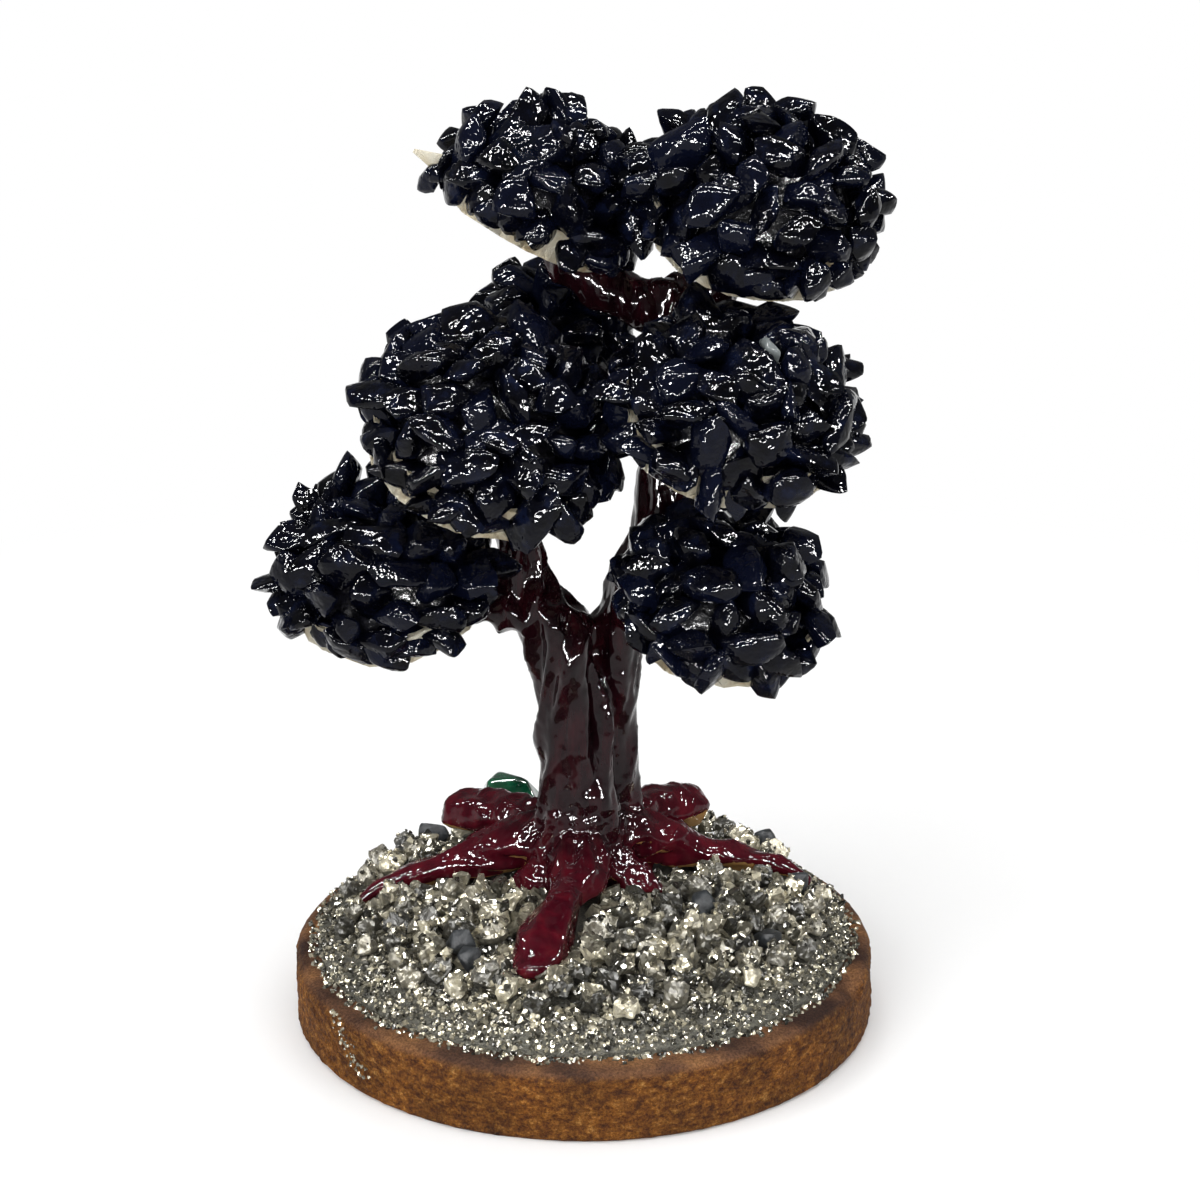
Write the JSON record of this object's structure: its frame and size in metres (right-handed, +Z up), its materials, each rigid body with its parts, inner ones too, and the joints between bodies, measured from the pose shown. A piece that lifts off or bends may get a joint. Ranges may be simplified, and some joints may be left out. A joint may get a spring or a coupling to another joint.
{
  "type": "gemstone tree ornament",
  "caption": "Desk ornament shaped like a bonsai: a forked, lacquered tree with domed pads of dark stone chips, its roots in pyrite grit on a round board base.",
  "frame": {"origin": "centre of the round base's underside", "axes": "+Z up along the tree, -Y towards the viewer of the picture, +X to that viewer's right"},
  "size_m": [0.1039, 0.1004, 0.1562],
  "materials": {
    "stained_board": "stained fibreboard, coarse on the side",
    "pyrite_grit": "fine grit with a metallic glitter",
    "lacquered_clay": "modelled clay under dark red-brown gloss lacquer",
    "lacquered_root": "modelled clay under crimson gloss lacquer",
    "armature_wire": "plain",
    "pin_steel": "plain",
    "cream_felt": "matt felt",
    "dark_glue": "glossy",
    "dark_chips": "tumbled and lacquered, very glossy",
    "green_stone": "polished",
    "pyrite_lumps": "broken crystal faces with a metallic glint",
    "dark_stone": "satin"
  },
  "bodies": {
    "root": {"base_disc": "stained_board", "grit_bed": "pyrite_grit", "left_stem": "lacquered_clay", "right_stem": "lacquered_clay", "left_root": "lacquered_root", "front_root": "lacquered_root", "right_root": "lacquered_root", "back_left_root": "lacquered_root", "back_right_root": "lacquered_root", "front_left_root": "lacquered_root", "front_right_root": "lacquered_root", "low_left_branch": "lacquered_clay", "low_right_branch": "lacquered_clay", "mid_right_branch": "lacquered_clay", "mid_back_branch": "lacquered_clay", "top_left_branch": "lacquered_clay", "top_right_branch": "lacquered_clay", "left_armature_wire": "armature_wire", "right_armature_wire": "armature_wire", "pad_pins": "pin_steel", "low_left_backing": "cream_felt", "low_left_glue": "dark_glue", "low_left_chips": "dark_chips", "low_right_backing": "cream_felt", "low_right_glue": "dark_glue", "low_right_chips": "dark_chips", "mid_left_backing": "cream_felt", "mid_left_glue": "dark_glue", "mid_left_chips": "dark_chips", "mid_right_backing": "cream_felt", "mid_right_glue": "dark_glue", "mid_right_chips": "dark_chips", "mid_back_backing": "cream_felt", "mid_back_glue": "dark_glue", "mid_back_chips": "dark_chips", "top_left_backing": "cream_felt", "top_left_glue": "dark_glue", "top_left_chips": "dark_chips", "top_right_backing": "cream_felt", "top_right_glue": "dark_glue", "top_right_chips": "dark_chips", "green_stone": "green_stone", "front_pyrite": "pyrite_lumps", "left_pyrite": "pyrite_lumps", "right_pyrite": "pyrite_lumps", "back_pyrite": "pyrite_lumps", "dark_stones": "dark_stone"}
  },
  "joints": []
}
